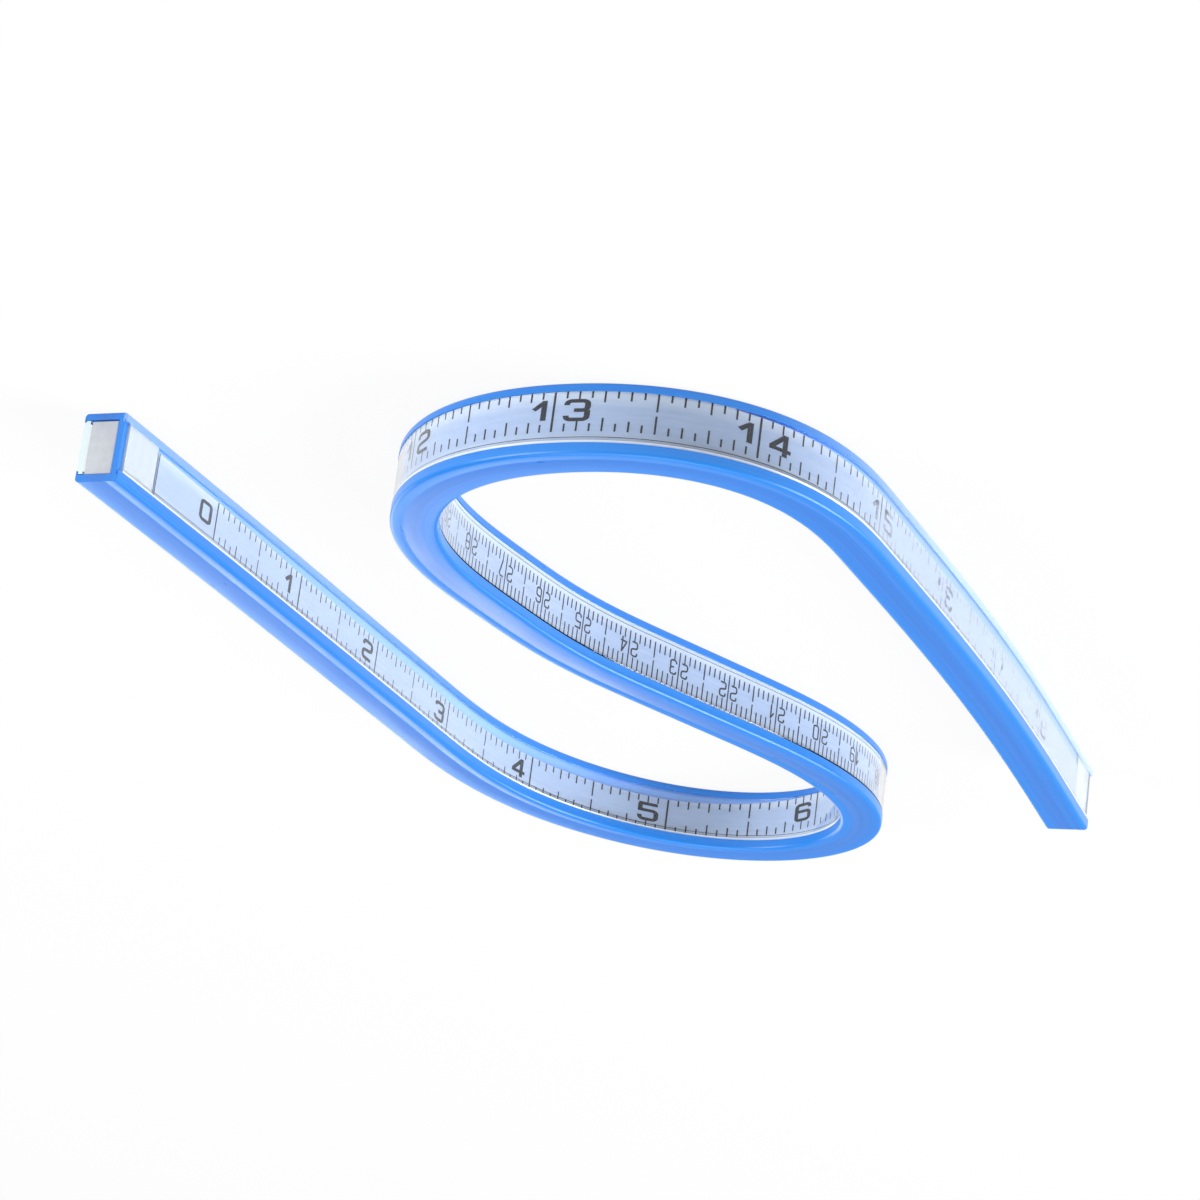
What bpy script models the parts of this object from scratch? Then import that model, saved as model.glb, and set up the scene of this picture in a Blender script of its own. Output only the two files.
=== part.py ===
"""Flexible curve ruler: it stands on its long edge, bent into an S.

A blue PVC channel runs the whole length. Its deep side is filled by a lead core between two spring
steel strips, then the centimetre scale and its clear window. Its shallow side, across the web, holds
the inch scale and its clear window. A plug closes each end.

The real ruler bends anywhere. Here it bends at six upright axes, and each long piece is cut into
seven lengths there, so the lengths between two axes move together as one section.

Metres, +Z up. The origin is the middle of the plan, on the surface that the ruler stands on.
Distances along are measured on the centreline from the start end. Distances across are measured from
the centreline: plus is the inch side, which is on the left for someone who walks from the start.
"""

import math

import bmesh
import bpy
import numpy as np
from mathutils import Vector

# The ruler as a whole
RULER_LENGTH = 0.519
RULER_HEIGHT = 0.0092
RULER_WIDTH = 0.0061

# Plan: heading at the start end, and bends that each ease in and out
START_HEADING = 114.9
BEND_PLACE_SHARES = (
    (-0.013, 0.13),
    (0.193, 0.409),
    (0.281, 0.467),
    (0.498, 0.562),
    (0.565, 0.761),
    (0.699, 0.792),
    (0.797, 0.99),
)
BEND_TURNS = (-1.0, 108.0, 95.0, -16.0, -128.0, -59.0, -5.0)

# Bending axes: where they are, and how far each can bend right (minus) and left from this shape
AXIS_PLACE_SHARES = (0.202, 0.343, 0.482, 0.613, 0.717, 0.848)
AXIS_LIMITS = ((-30.0, 6.0), (-35.0, 5.0), (-8.0, 3.0), (-3.0, 10.0), (-3.0, 35.0), (-3.0, 30.0))
ROOT_SECTION = 4
SECTION_GAP = 0.0003

# How finely the curve is drawn
PLAN_STEP = 0.0005
LONGEST_STEP = 0.02
TURN_PER_STEP = 7.5

# Channel
LOWER_LIP = 0.0011
UPPER_LIP = 0.0015
HOOK_THICKNESS = 0.0002
LOWER_UNDERCUT = 0.00025
UPPER_UNDERCUT = 0.0005
WEB_THICKNESS = 0.00075
OUTER_EDGE_RADIUS = 0.0005
OUTER_EDGE_SEGMENTS = 3

# What the channel holds, from the outside in on each side. The lead takes the width that is left.
FIT_CLEARANCE = 0.0001
INCH_FLANGE_THICKNESS = 0.00025
CM_FLANGE_THICKNESS = 0.0006
WINDOW_SETBACK = 0.00005
SCALE_THICKNESS = 0.00015
STEEL_THICKNESS = 0.00025

# Ends
PLUG_LENGTH = 0.006
PLUG_RECESS = 0.00015
FILLER_LENGTH = 0.0092
SCALE_GAP = 0.0003

# Section: places across, each worked out from the one outside it
OUTER = RULER_WIDTH / 2
HOOK_FACE = OUTER - HOOK_THICKNESS
WINDOW_FACE = OUTER - WINDOW_SETBACK
FLANGE_FACE = HOOK_FACE - FIT_CLEARANCE
INCH_WINDOW_IN = FLANGE_FACE - INCH_FLANGE_THICKNESS
INCH_SCALE_OUT = INCH_WINDOW_IN - FIT_CLEARANCE
INCH_SCALE_IN = INCH_SCALE_OUT - SCALE_THICKNESS
WEB_OUT = INCH_SCALE_IN - FIT_CLEARANCE
WEB_IN = WEB_OUT - WEB_THICKNESS
INCH_STEEL_OUT = WEB_IN - FIT_CLEARANCE
INCH_STEEL_IN = INCH_STEEL_OUT - STEEL_THICKNESS
LEAD_INCH_FACE = INCH_STEEL_IN - FIT_CLEARANCE
CM_WINDOW_IN = CM_FLANGE_THICKNESS - FLANGE_FACE
CM_SCALE_OUT = CM_WINDOW_IN + FIT_CLEARANCE
CM_SCALE_IN = CM_SCALE_OUT + SCALE_THICKNESS
CM_STEEL_OUT = CM_SCALE_IN + FIT_CLEARANCE
CM_STEEL_IN = CM_STEEL_OUT + STEEL_THICKNESS
LEAD_CM_FACE = CM_STEEL_IN + FIT_CLEARANCE

# Section: heights
LIP_BOTTOM = RULER_HEIGHT - UPPER_LIP
CAVITY_FLOOR = LOWER_LIP - LOWER_UNDERCUT
CAVITY_ROOF = LIP_BOTTOM + UPPER_UNDERCUT
STRIP_BOTTOM = CAVITY_FLOOR + FIT_CLEARANCE
STRIP_TOP = CAVITY_ROOF - FIT_CLEARANCE
WINDOW_BOTTOM = LOWER_LIP + FIT_CLEARANCE
WINDOW_TOP = LIP_BOTTOM - FIT_CLEARANCE


def eased(share):
    """0 before a bend, 1 after it, with a smooth change of heading in between."""
    share = np.clip(share, 0, 1)
    return share * share * (3 - 2 * share)


def headings(along):
    """The centreline's heading in radians at each distance along."""
    total = np.full(len(along), START_HEADING)
    for (first, last), turn in zip(BEND_PLACE_SHARES, BEND_TURNS):
        start = first * RULER_LENGTH
        total += turn * eased((along - start) / (last * RULER_LENGTH - start))
    return np.radians(total)


class Plan:
    """The centreline seen from above, followed from the start end and then centred on the origin."""

    def __init__(self):
        steps = math.ceil(RULER_LENGTH / PLAN_STEP)
        self.along = np.linspace(0, RULER_LENGTH, steps + 1)
        middles = headings((self.along[1:] + self.along[:-1]) / 2)
        lengths = np.diff(self.along)
        self.x = np.concatenate([[0], np.cumsum(np.cos(middles) * lengths)])
        self.y = np.concatenate([[0], np.cumsum(np.sin(middles) * lengths)])
        self.heading = headings(self.along)
        edge_x = np.sin(self.heading) * OUTER
        edge_y = np.cos(self.heading) * OUTER
        self.x -= (np.max(self.x + abs(edge_x)) + np.min(self.x - abs(edge_x))) / 2
        self.y -= (np.max(self.y + abs(edge_y)) + np.min(self.y - abs(edge_y))) / 2

    def centre(self, along):
        return Vector((np.interp(along, self.along, self.x), np.interp(along, self.along, self.y), 0))

    def forward(self, along):
        heading = np.interp(along, self.along, self.heading)
        return Vector((math.cos(heading), math.sin(heading), 0))

    def stations(self, first, last):
        """Distances along from first to last, closer together where the ruler bends more."""
        count = max(2, math.ceil((last - first) / PLAN_STEP))
        fine = np.linspace(first, last, count + 1)
        turn = abs(np.diff(headings(fine))) / math.radians(TURN_PER_STEP)
        effort = np.concatenate([[0], np.cumsum(np.hypot(turn, np.diff(fine) / LONGEST_STEP))])
        steps = max(2, math.ceil(effort[-1]))
        return [float(place) for place in np.interp(np.linspace(0, effort[-1], steps + 1), effort, fine)]


PLAN = Plan()
AXES = [share * RULER_LENGTH for share in AXIS_PLACE_SHARES]
SECTIONS = range(1, len(AXES) + 2)


def limit_of(axis, across):
    """How far this axis bends towards the side that this point is on, in radians."""
    right, left = AXIS_LIMITS[axis]
    return math.radians(left if across > 0 else -right)


def cut_back(axis, across):
    """Half the gap between two sections at an axis: it opens outwards, to leave room to bend."""
    return SECTION_GAP / 2 + abs(across) * math.tan(limit_of(axis, across) / 2)


def rings_of(section, first=0.0, last=RULER_LENGTH):
    """The cross-sections that a piece of this section passes through, as (distance along, axis, side)."""
    start = (AXES[section - 2], section - 2, 1) if section > 1 else (first, None, 0)
    end = (AXES[section - 1], section - 1, -1) if section <= len(AXES) else (last, None, 0)
    between = [(along, None, 0) for along in PLAN.stations(start[0], end[0])[1:-1]]
    return [start] + between + [end]


def place(ring, across, up):
    """A point of the section, carried to its place in the ruler."""
    along, axis, side = ring
    forward = PLAN.forward(along)
    left = Vector((-forward.y, forward.x, 0))
    point = PLAN.centre(along) + left * across + Vector((0, 0, up))
    if axis is not None:
        point += forward * (side * cut_back(axis, across))
    return point


def clear_scene():
    for obj in list(bpy.data.objects):
        bpy.data.objects.remove(obj)


def material(name, colour, roughness, metallic=0.0, transmission=0.0):
    made = bpy.data.materials.new(name)
    made.use_nodes = True
    shader = made.node_tree.nodes["Principled BSDF"]
    shader.inputs["Base Color"].default_value = (*colour, 1)
    shader.inputs["Roughness"].default_value = roughness
    shader.inputs["Metallic"].default_value = metallic
    shader.inputs["Transmission Weight"].default_value = transmission
    made.diffuse_color = (*colour, 1)
    return made


def section_axes():
    """One empty per section, on the upright axis that it turns about, each under the section it turns on."""
    empties = {}
    places = {}
    order = list(range(ROOT_SECTION, 0, -1)) + list(range(ROOT_SECTION + 1, len(AXES) + 2))
    for section in order:
        empty = bpy.data.objects.new(f"section_{section}_axis", None)
        empty.empty_display_size = RULER_HEIGHT
        bpy.context.scene.collection.objects.link(empty)
        if section == ROOT_SECTION:
            places[section] = Vector((0, 0, 0))
            empty.location = places[section]
        else:
            inner = section + 1 if section < ROOT_SECTION else section - 1
            places[section] = PLAN.centre(AXES[min(section, inner) - 1])
            empty.parent = empties[inner]
            empty.location = places[section] - places[inner]
        empties[section] = empty
    return empties, places


def flat_section(faces, rounded):
    """The piece's cross-section as flat faces: X is across, Y is up. Edges on the rounded list are eased."""
    mesh = bmesh.new()
    corners = {}
    for face in faces:
        for point in face:
            if point not in corners:
                corners[point] = mesh.verts.new((point[0], point[1], 0))
        mesh.faces.new([corners[point] for point in face])
    if rounded:
        bmesh.ops.bevel(
            mesh,
            geom=[corners[point] for point in rounded],
            offset=OUTER_EDGE_RADIUS,
            offset_type="OFFSET",
            segments=OUTER_EDGE_SEGMENTS,
            profile=0.5,
            affect="VERTICES",
            material=-1,
        )
    return mesh


def sweep(name, faces, rings, look, section, rounded=()):
    """Extrudes a cross-section through its rings, and hangs the piece on its section's axis."""
    mesh = flat_section(faces, rounded)
    across = mesh.verts.layers.float.new("across")
    up = mesh.verts.layers.float.new("up")
    for vert in mesh.verts:
        vert[across], vert[up] = vert.co.x, vert.co.y
        vert.co = place(rings[0], vert[across], vert[up]) - PIVOTS[section]
    front = [*mesh.faces, *mesh.edges]
    for ring in rings[1:]:
        front = bmesh.ops.extrude_face_region(mesh, geom=front)["geom"]
        for vert in [part for part in front if isinstance(part, bmesh.types.BMVert)]:
            vert.co = place(ring, vert[across], vert[up]) - PIVOTS[section]
    bmesh.ops.recalc_face_normals(mesh, faces=mesh.faces)
    data = bpy.data.meshes.new(name)
    mesh.to_mesh(data)
    mesh.free()
    data.materials.append(look)
    data.shade_smooth()
    data.set_sharp_from_angle(angle=math.radians(25))
    obj = bpy.data.objects.new(name, data)
    bpy.context.scene.collection.objects.link(obj)
    obj.parent = EMPTIES[section]
    return obj


def box_face(inner, outer, bottom, top):
    return [(inner, bottom), (outer, bottom), (outer, top), (inner, top)]


def sleeve(section, look):
    """The extruded channel: a floor and a roof with hooked lips, joined by the web on the inch side."""
    inch_half = [
        (0.0, 0.0),
        (OUTER, 0.0),
        (OUTER, LOWER_LIP),
        (HOOK_FACE, LOWER_LIP),
        (HOOK_FACE, CAVITY_FLOOR),
        (WEB_OUT, CAVITY_FLOOR),
        (WEB_OUT, CAVITY_ROOF),
        (HOOK_FACE, CAVITY_ROOF),
        (HOOK_FACE, LIP_BOTTOM),
        (OUTER, LIP_BOTTOM),
        (OUTER, RULER_HEIGHT),
        (0.0, RULER_HEIGHT),
        (0.0, CAVITY_ROOF),
        (WEB_IN, CAVITY_ROOF),
        (WEB_IN, CAVITY_FLOOR),
        (0.0, CAVITY_FLOOR),
    ]
    cm_floor = [
        (-OUTER, 0.0),
        (0.0, 0.0),
        (0.0, CAVITY_FLOOR),
        (-HOOK_FACE, CAVITY_FLOOR),
        (-HOOK_FACE, LOWER_LIP),
        (-OUTER, LOWER_LIP),
    ]
    cm_roof = [
        (0.0, RULER_HEIGHT),
        (-OUTER, RULER_HEIGHT),
        (-OUTER, LIP_BOTTOM),
        (-HOOK_FACE, LIP_BOTTOM),
        (-HOOK_FACE, CAVITY_ROOF),
        (0.0, CAVITY_ROOF),
    ]
    edges = [(side * OUTER, height) for side in (-1, 1) for height in (0.0, RULER_HEIGHT)]
    sweep(f"sleeve_{section}", [inch_half, cm_floor, cm_roof], rings_of(section), look, section, edges)


def core(section, lead, steel):
    """The lead bar, and the spring steel strips that lie against its two broad faces."""
    stop = PLUG_LENGTH + SECTION_GAP
    rings = rings_of(section, stop, RULER_LENGTH - stop)
    halves = [
        box_face(0.0, LEAD_INCH_FACE, STRIP_BOTTOM, STRIP_TOP),
        box_face(LEAD_CM_FACE, 0.0, STRIP_BOTTOM, STRIP_TOP),
    ]
    sweep(f"lead_core_{section}", halves, rings, lead, section)
    strip = box_face(INCH_STEEL_IN, INCH_STEEL_OUT, STRIP_BOTTOM, STRIP_TOP)
    sweep(f"steel_strip_inch_{section}", [strip], rings, steel, section)
    strip = box_face(CM_STEEL_OUT, CM_STEEL_IN, STRIP_BOTTOM, STRIP_TOP)
    sweep(f"steel_strip_cm_{section}", [strip], rings, steel, section)


def scales(section, look):
    """The two printed strips, one on the web and one over the core."""
    margin = FILLER_LENGTH + SCALE_GAP
    rings = rings_of(section, margin, RULER_LENGTH - margin)
    strip = box_face(INCH_SCALE_IN, INCH_SCALE_OUT, STRIP_BOTTOM, STRIP_TOP)
    sweep(f"scale_inch_{section}", [strip], rings, look, section)
    strip = box_face(CM_SCALE_OUT, CM_SCALE_IN, STRIP_BOTTOM, STRIP_TOP)
    sweep(f"scale_cm_{section}", [strip], rings, look, section)


def window_face(inner, side):
    """A clear strip's section: its edges go behind the hooks, and its middle comes out between the lips."""
    return [
        (inner, STRIP_BOTTOM),
        (side * FLANGE_FACE, STRIP_BOTTOM),
        (side * FLANGE_FACE, WINDOW_BOTTOM),
        (side * WINDOW_FACE, WINDOW_BOTTOM),
        (side * WINDOW_FACE, WINDOW_TOP),
        (side * FLANGE_FACE, WINDOW_TOP),
        (side * FLANGE_FACE, STRIP_TOP),
        (inner, STRIP_TOP),
    ]


def windows(section, look):
    """The clear strips, sprung in behind the hooks of the lips."""
    rings = rings_of(section)
    sweep(f"window_inch_{section}", [window_face(INCH_WINDOW_IN, 1)], rings, look, section)
    sweep(f"window_cm_{section}", [window_face(CM_WINDOW_IN, -1)], rings, look, section)


def end_pieces(name, section, plug_ends, filler_ends, look):
    """The plug, which fills the deep side from the web to the window, and the filler on the web."""
    rings = [(along, None, 0) for along in PLAN.stations(*plug_ends)]
    block = box_face(CM_SCALE_OUT, INCH_STEEL_OUT, STRIP_BOTTOM, STRIP_TOP)
    sweep(f"{name}_plug", [block], rings, look, section)
    rings = [(along, None, 0) for along in PLAN.stations(*filler_ends)]
    strip = box_face(INCH_SCALE_IN, INCH_SCALE_OUT, STRIP_BOTTOM, STRIP_TOP)
    sweep(f"{name}_slot_filler", [strip], rings, look, section)


clear_scene()
EMPTIES, PIVOTS = section_axes()
BLUE_PVC = material("blue_pvc", (0.03, 0.2, 0.75), 0.35)
LEAD = material("lead", (0.16, 0.17, 0.19), 0.6, metallic=1.0)
STEEL = material("spring_steel", (0.5, 0.51, 0.53), 0.3, metallic=1.0)
PRINTED = material("printed_strip", (0.72, 0.76, 0.86), 0.55)
CLEAR = material("clear_plastic", (0.9, 0.96, 1.0), 0.08, transmission=0.9)
GREY = material("grey_plastic", (0.66, 0.7, 0.74), 0.5)

for number in SECTIONS:
    sleeve(number, BLUE_PVC)
    core(number, LEAD, STEEL)
    scales(number, PRINTED)
    windows(number, CLEAR)

far = RULER_LENGTH
end_pieces("start", 1, (PLUG_RECESS, PLUG_LENGTH), (PLUG_RECESS, FILLER_LENGTH), GREY)
end_pieces(
    "end",
    len(AXES) + 1,
    (far - PLUG_LENGTH, far - PLUG_RECESS),
    (far - FILLER_LENGTH, far - PLUG_RECESS),
    GREY,
)
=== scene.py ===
import math

import bmesh
import bpy
import numpy as np
from mathutils import Matrix, Vector


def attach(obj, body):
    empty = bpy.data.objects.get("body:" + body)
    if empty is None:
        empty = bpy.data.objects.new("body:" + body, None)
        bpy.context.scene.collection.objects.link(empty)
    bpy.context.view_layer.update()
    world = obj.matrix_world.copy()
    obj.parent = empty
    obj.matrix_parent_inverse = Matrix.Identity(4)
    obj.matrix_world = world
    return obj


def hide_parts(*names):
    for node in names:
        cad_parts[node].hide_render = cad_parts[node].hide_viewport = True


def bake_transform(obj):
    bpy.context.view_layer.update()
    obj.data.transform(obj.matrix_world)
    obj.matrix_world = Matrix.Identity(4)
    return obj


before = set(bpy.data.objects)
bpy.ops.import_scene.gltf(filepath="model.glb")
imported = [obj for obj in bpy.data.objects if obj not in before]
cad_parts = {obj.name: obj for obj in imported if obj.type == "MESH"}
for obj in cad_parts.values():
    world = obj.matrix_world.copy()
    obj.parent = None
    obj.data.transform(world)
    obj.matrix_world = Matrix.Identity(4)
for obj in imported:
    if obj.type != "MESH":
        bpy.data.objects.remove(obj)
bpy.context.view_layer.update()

# The blue sleeve
# A soft PVC channel extruded in one length: a floor and a roof with hooked lips, joined by an upright
# web on the inch side. It is cut square at both ends, and everything else slides or snaps into it.
LENGTH = 0.519
HEIGHT = 0.0092
WIDTH = 0.0061
OUTER = WIDTH / 2

# The ruler stands on edge, bent into an S. Its course is the centreline from the start end, which
# sets out at START_HEADING degrees from the X axis. Each bend eases in and out between two shares of
# the length, and turns the course by its degrees. A long piece is made straight, then laid along it.
START_HEADING = 114.9
COURSE_POINTS = 1039
BENDS = (
    (-0.013, 0.13, -1.0),
    (0.193, 0.409, 108.0),
    (0.281, 0.467, 95.0),
    (0.498, 0.562, -16.0),
    (0.565, 0.761, -128.0),
    (0.699, 0.792, -59.0),
    (0.797, 0.99, -5.0),
)


def headings(along):
    """The direction of the course at each of these places, in radians."""
    total = np.full(len(along), START_HEADING)
    for first, last, turn in BENDS:
        share = np.clip((along / LENGTH - first) / (last - first), 0, 1)
        total += turn * share * share * (3 - 2 * share)
    return np.radians(total)


ALONG = np.linspace(0, LENGTH, COURSE_POINTS)
HEADING = headings(ALONG)
MIDDLE_HEADING = headings((ALONG[1:] + ALONG[:-1]) / 2)
COURSE_X = np.concatenate([[0], np.cumsum(np.cos(MIDDLE_HEADING) * np.diff(ALONG))])
COURSE_Y = np.concatenate([[0], np.cumsum(np.sin(MIDDLE_HEADING) * np.diff(ALONG))])
reach_x = abs(np.sin(HEADING)) * OUTER
reach_y = abs(np.cos(HEADING)) * OUTER
COURSE_X -= (np.max(COURSE_X + reach_x) + np.min(COURSE_X - reach_x)) / 2
COURSE_Y -= (np.max(COURSE_Y + reach_y) + np.min(COURSE_Y - reach_y)) / 2


def on_course(along, across=0.0, up=0.0):
    """A place in the bent ruler: so far along it, this far to the left of its centreline, this high."""
    turn = np.interp(along, ALONG, HEADING)
    x = np.interp(along, ALONG, COURSE_X) - math.sin(turn) * across
    y = np.interp(along, ALONG, COURSE_Y) + math.cos(turn) * across
    return Vector((x, y, up))


# The real ruler bends anywhere. The frame has six upright axes, so each long piece is made in six
# spans, one across each axis, that meet in the middle of the sections between the axes.
MEETINGS = [0.0, 0.1415, 0.214, 0.284, 0.345, 0.406, LENGTH]
SPANS = range(1, 7)


def bend_with_frame(piece):
    """Bakes the piece's placement into its mesh; the piece isn't tied to the frame's sections."""
    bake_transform(piece)


def span_ends(span, stop):
    """Where this span of a piece begins and ends, if the whole piece stops this far inside the ruler."""
    return max(MEETINGS[span - 1], stop), min(MEETINGS[span], LENGTH - stop)


def stand_for(span, name):
    """The piece replaces the frame's plain solids of this span; the last span takes both its sections."""
    sections = (span, span + 1) if span == SPANS[-1] else (span,)
    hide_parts(*[f"{name}_{section}" for section in sections])


# The sleeve's section. A fine groove is drawn along the roof, and in the mouth, the last millimetre at
# each end, the web stands further out.
LOWER_LIP = 0.0011
UPPER_LIP = 0.0077
HOOK = 0.0002
CAVITY_FLOOR = 0.00085
CAVITY_ROOF = 0.0082
WEB_FACES = (0.0014, 0.00215)
MOUTH_WEB_FACES = (0.0019, 0.0027)
MOUTH = 0.0010
EDGE_ROUNDING = 0.0005
EDGE_SEGMENTS = 5
FLAT_FROM = 0.0008
GROOVE_PLACE = 0.0013
GROOVE_WIDTH = 0.0004
GROOVE_DEPTH = 0.00004
BEND_STEP = 0.001
CAP_FACING = 0.9
SHARP_FROM = math.radians(28)


def long_piece(name, outline, first, last, rounded=(), rounding=0.0, segments=1, cut_look=0, rise=None):
    """One span of a long piece: made straight from its section, cut across to bend, laid on the course.

    The ends that meet the next span are left open, and the piece's own two ends take the material
    numbered cut_look. A rise says how far the lower edge is lifted at each place along the piece.
    """
    mesh = bmesh.new()
    corners = [mesh.verts.new((first, across, up)) for across, up in outline]
    mesh.faces.new(corners)
    if rounded:
        bmesh.ops.bevel(
            mesh,
            geom=[corners[number] for number in rounded],
            offset=rounding,
            offset_type="OFFSET",
            segments=segments,
            profile=0.5,
            affect="VERTICES",
            material=-1,
        )
    grown = bmesh.ops.extrude_face_region(mesh, geom=[*mesh.faces, *mesh.edges])["geom"]
    moved = [part for part in grown if isinstance(part, bmesh.types.BMVert)]
    bmesh.ops.translate(mesh, verts=moved, vec=(last - first, 0, 0))
    lengthwise = [edge for edge in mesh.edges if edge.verts[0].co.x != edge.verts[1].co.x]
    cuts = math.ceil((last - first) / BEND_STEP) - 1
    bmesh.ops.subdivide_edges(mesh, edges=lengthwise, cuts=cuts, use_grid_fill=True)
    bmesh.ops.recalc_face_normals(mesh, faces=mesh.faces)
    caps = [face for face in mesh.faces if abs(face.normal.x) > CAP_FACING]
    for cap in caps:
        cap.material_index = cut_look
    joined = [cap for cap in caps if (first if cap.normal.x < 0 else last) in MEETINGS[1:-1]]
    bmesh.ops.delete(mesh, geom=joined, context="FACES_ONLY")
    if rise:
        for vert in mesh.verts:
            if vert.co.z < HEIGHT / 2:
                vert.co.z += rise(vert.co.x)
    return lay_on_course(name, mesh)


def lay_on_course(name, mesh):
    """Bends a straight mesh along the course. It keeps its straight places, which materials read."""
    straight = mesh.verts.layers.float_vector.new("straight")
    for vert in mesh.verts:
        vert[straight] = vert.co
        vert.co = on_course(*vert.co)
    data = bpy.data.meshes.new(name)
    mesh.to_mesh(data)
    mesh.free()
    data.shade_smooth()
    data.set_sharp_from_angle(angle=SHARP_FROM)
    piece = bpy.data.objects.new(name, data)
    bpy.context.scene.collection.objects.link(piece)
    return piece


def new_finish(name, colour, roughness):
    """A material, its node tree and its Principled shader, ready for the detail."""
    finish = bpy.data.materials.new(name)
    finish.use_nodes = True
    tree = finish.node_tree
    shader = tree.nodes["Principled BSDF"]
    shader.inputs["Base Color"].default_value = (*colour, 1)
    shader.inputs["Roughness"].default_value = roughness
    return finish, tree, shader


def straight_noise(tree, sizes, detail=2.0):
    """Noise that follows a long piece: its grain is sized along, across and up the straight piece."""
    source = tree.nodes.new("ShaderNodeAttribute")
    source.attribute_name = "straight"
    mapping = tree.nodes.new("ShaderNodeMapping")
    mapping.inputs["Scale"].default_value = [1 / size for size in sizes]
    noise = tree.nodes.new("ShaderNodeTexNoise")
    noise.inputs["Scale"].default_value = 1.0
    noise.inputs["Detail"].default_value = detail
    tree.links.new(source.outputs["Vector"], mapping.inputs["Vector"])
    tree.links.new(mapping.outputs["Vector"], noise.inputs["Vector"])
    return noise.outputs["Fac"]


def spread(tree, value, low, high, start=0.3, end=0.7):
    """Carries a value from the range start to end, where most of a noise lies, onto low to high."""
    ranged = tree.nodes.new("ShaderNodeMapRange")
    ranged.inputs["From Min"].default_value = start
    ranged.inputs["From Max"].default_value = end
    ranged.inputs["To Min"].default_value = low
    ranged.inputs["To Max"].default_value = high
    tree.links.new(value, ranged.inputs["Value"])
    return ranged.outputs["Result"]


def mixed_colour(tree, share, first, second):
    """A blend of two plain colours."""
    mix = tree.nodes.new("ShaderNodeMix")
    mix.data_type = "RGBA"
    mix.inputs["A"].default_value = (*first, 1)
    mix.inputs["B"].default_value = (*second, 1)
    tree.links.new(share, mix.inputs["Factor"])
    return mix.outputs["Result"]


def add_bump(tree, shader, height, distance, strength):
    """Shades the surface as if it were raised by this height."""
    bump = tree.nodes.new("ShaderNodeBump")
    bump.inputs["Distance"].default_value = distance
    bump.inputs["Strength"].default_value = strength
    tree.links.new(height, bump.inputs["Height"])
    tree.links.new(bump.outputs["Normal"], shader.inputs["Normal"])


def mix_of(tree, share, first, second):
    """A blend of two colours that come from nodes."""
    mix = tree.nodes.new("ShaderNodeMix")
    mix.data_type = "RGBA"
    tree.links.new(share, mix.inputs["Factor"])
    tree.links.new(first, mix.inputs["A"])
    tree.links.new(second, mix.inputs["B"])
    return mix.outputs["Result"]


def between(tree, axis, start, end):
    """Goes from 0 to 1 between two places on one axis of the straight piece."""
    source = tree.nodes.new("ShaderNodeAttribute")
    source.attribute_name = "straight"
    apart = tree.nodes.new("ShaderNodeSeparateXYZ")
    tree.links.new(source.outputs["Vector"], apart.inputs["Vector"])
    return spread(tree, apart.outputs[axis], 0, 1, start, end)


def ramp(tree, place, stops, interpolation="LINEAR"):
    """Greys that change from stop to stop: each stop is a share of the way and how white it is."""
    greys = tree.nodes.new("ShaderNodeValToRGB")
    greys.color_ramp.interpolation = interpolation
    for number, (share, white) in enumerate(stops):
        stop = greys.color_ramp.elements[number] if number < 2 else greys.color_ramp.elements.new(1.0)
        stop.position = share
        stop.color = (white, white, white, 1)
    tree.links.new(place, greys.inputs["Fac"])
    return greys.outputs["Color"]


# The colour lies in drawn lines, and in soft bands of painted sheen and painted shade across the floor
# and the roof, lighter towards both edges and darker along the middle. The web is painted paler behind
# the inch window, painted light on a web that lies in the lips' shade, and the lower lip beside it
# carries a painted glare on the first and last stretch. Each of these has its stops: shares of the width,
# the length or the height, and how strong it is there.
FADE = 0.0001
LIP_DEPTH = 0.0005
LIP_MARGIN = 0.003
# Painted sheen and painted shade across the width: lighter at both edges, darker along the middle.
SHEEN_BANDS_ACROSS = ((0.0, 0.9), (0.25, 0.5), (0.45, 0.1), (0.66, 0.2), (0.73, 0.6), (1.0, 0.9))
# Painted glare: the outer lower lip on the inch side is paler on the first and last stretch.
GLARE_ALONG = ((0.0, 0.45), (0.12, 0.35), (0.22, 0.0), (0.74, 0.0), (0.84, 1.0))
# Painted light: the web between the lips, which lies in their shade, is painted paler.
BEHIND_WINDOW = (
    (0.0, 0.0),
    (LOWER_LIP / HEIGHT + LIP_MARGIN, 1.0),
    (UPPER_LIP / HEIGHT - LIP_MARGIN, 0.0),
)

pvc, tree, shader = new_finish("blue_pvc", (0.01, 0.24, 0.8), 0.3)
shader.inputs["IOR"].default_value = 1.5
shader.inputs["Specular IOR Level"].default_value = 0.5
shader.inputs["Coat Weight"].default_value = 0.1
shader.inputs["Coat Roughness"].default_value = 0.12
drawn_lines = straight_noise(tree, (0.08, 0.00035, 0.00035), detail=3.0)
cloudy = straight_noise(tree, (0.02, 0.003, 0.003))
# The bands across the width are painted sheen and painted shade.
painted_sheen_bands = ramp(tree, between(tree, "Y", -OUTER, OUTER), SHEEN_BANDS_ACROSS)
deep = mixed_colour(tree, painted_sheen_bands, (0.032, 0.18, 0.64), (0.012, 0.23, 0.80))
light = mixed_colour(tree, painted_sheen_bands, (0.055, 0.23, 0.74), (0.020, 0.28, 0.88))
blue = mix_of(tree, spread(tree, drawn_lines, 0, 1, start=0.2, end=0.8), deep, light)
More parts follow.
